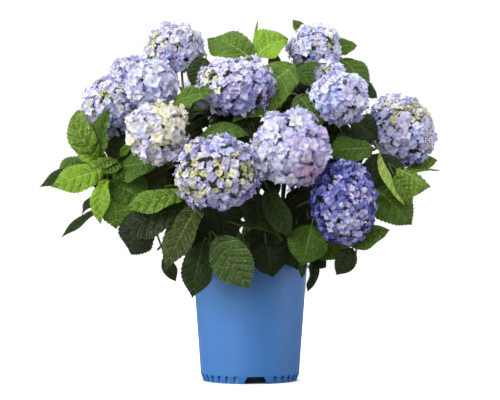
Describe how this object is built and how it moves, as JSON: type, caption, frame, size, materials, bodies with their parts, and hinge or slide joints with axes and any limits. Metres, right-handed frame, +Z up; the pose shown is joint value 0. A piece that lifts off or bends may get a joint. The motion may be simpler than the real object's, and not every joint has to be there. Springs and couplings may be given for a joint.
{
  "type": "potted hydrangea shrub",
  "caption": "Bigleaf hydrangea shrub in full bloom, a wide leafy crown of round mophead flowers on woody canes, in a tapered round nursery pot.",
  "frame": {"origin": "middle of the pot's flat underside, on the ground", "axes": "+Z up along the pot's axis, -Y towards the shrub's front, +X to its right seen from the front"},
  "size_m": [0.7496, 0.6293, 0.6898],
  "materials": {
    "pot": "satin",
    "potting_mix": "matte",
    "canes": "matte",
    "leaves": "matte",
    "blossom": "matte"
  },
  "bodies": {
    "root": {"pot": "pot", "potting_mix": "potting_mix", "cane_back": "canes", "cane_back_left": "canes", "cane_back_right": "canes", "cane_front": "canes", "cane_front_left": "canes", "cane_left": "canes", "cane_middle": "canes", "cane_right": "canes", "leaf_mass_back": "leaves", "leaf_mass_back_left": "leaves", "leaf_mass_back_left_low": "leaves", "leaf_mass_back_low": "leaves", "leaf_mass_back_right": "leaves", "leaf_mass_back_right_low": "leaves", "leaf_mass_back_top": "leaves", "leaf_mass_front": "leaves", "leaf_mass_front_left": "leaves", "leaf_mass_front_left_low": "leaves", "leaf_mass_front_low": "leaves", "leaf_mass_front_right": "leaves", "leaf_mass_front_upper": "leaves", "leaf_mass_heart": "leaves", "leaf_mass_left": "leaves", "leaf_mass_left_low": "leaves", "leaf_mass_left_top": "leaves", "leaf_mass_left_upper": "leaves", "leaf_mass_right": "leaves", "leaf_mass_right_low": "leaves", "leaf_mass_right_top": "leaves", "leaf_mass_right_upper": "leaves", "leaf_mass_top": "leaves", "mophead_back": "blossom", "mophead_back_left": "blossom", "mophead_back_left_low": "blossom", "mophead_back_left_top": "blossom", "mophead_back_right": "blossom", "mophead_back_right_top": "blossom", "mophead_front": "blossom", "mophead_front_left": "blossom", "mophead_front_low": "blossom", "mophead_front_top": "blossom", "mophead_left": "blossom", "mophead_left_back": "blossom", "mophead_left_behind": "blossom", "mophead_left_top": "blossom", "mophead_left_upper": "blossom", "mophead_right": "blossom", "mophead_right_back": "blossom", "mophead_right_behind": "blossom", "mophead_right_low": "blossom", "mophead_right_top": "blossom", "mophead_right_upper": "blossom"}
  },
  "joints": []
}
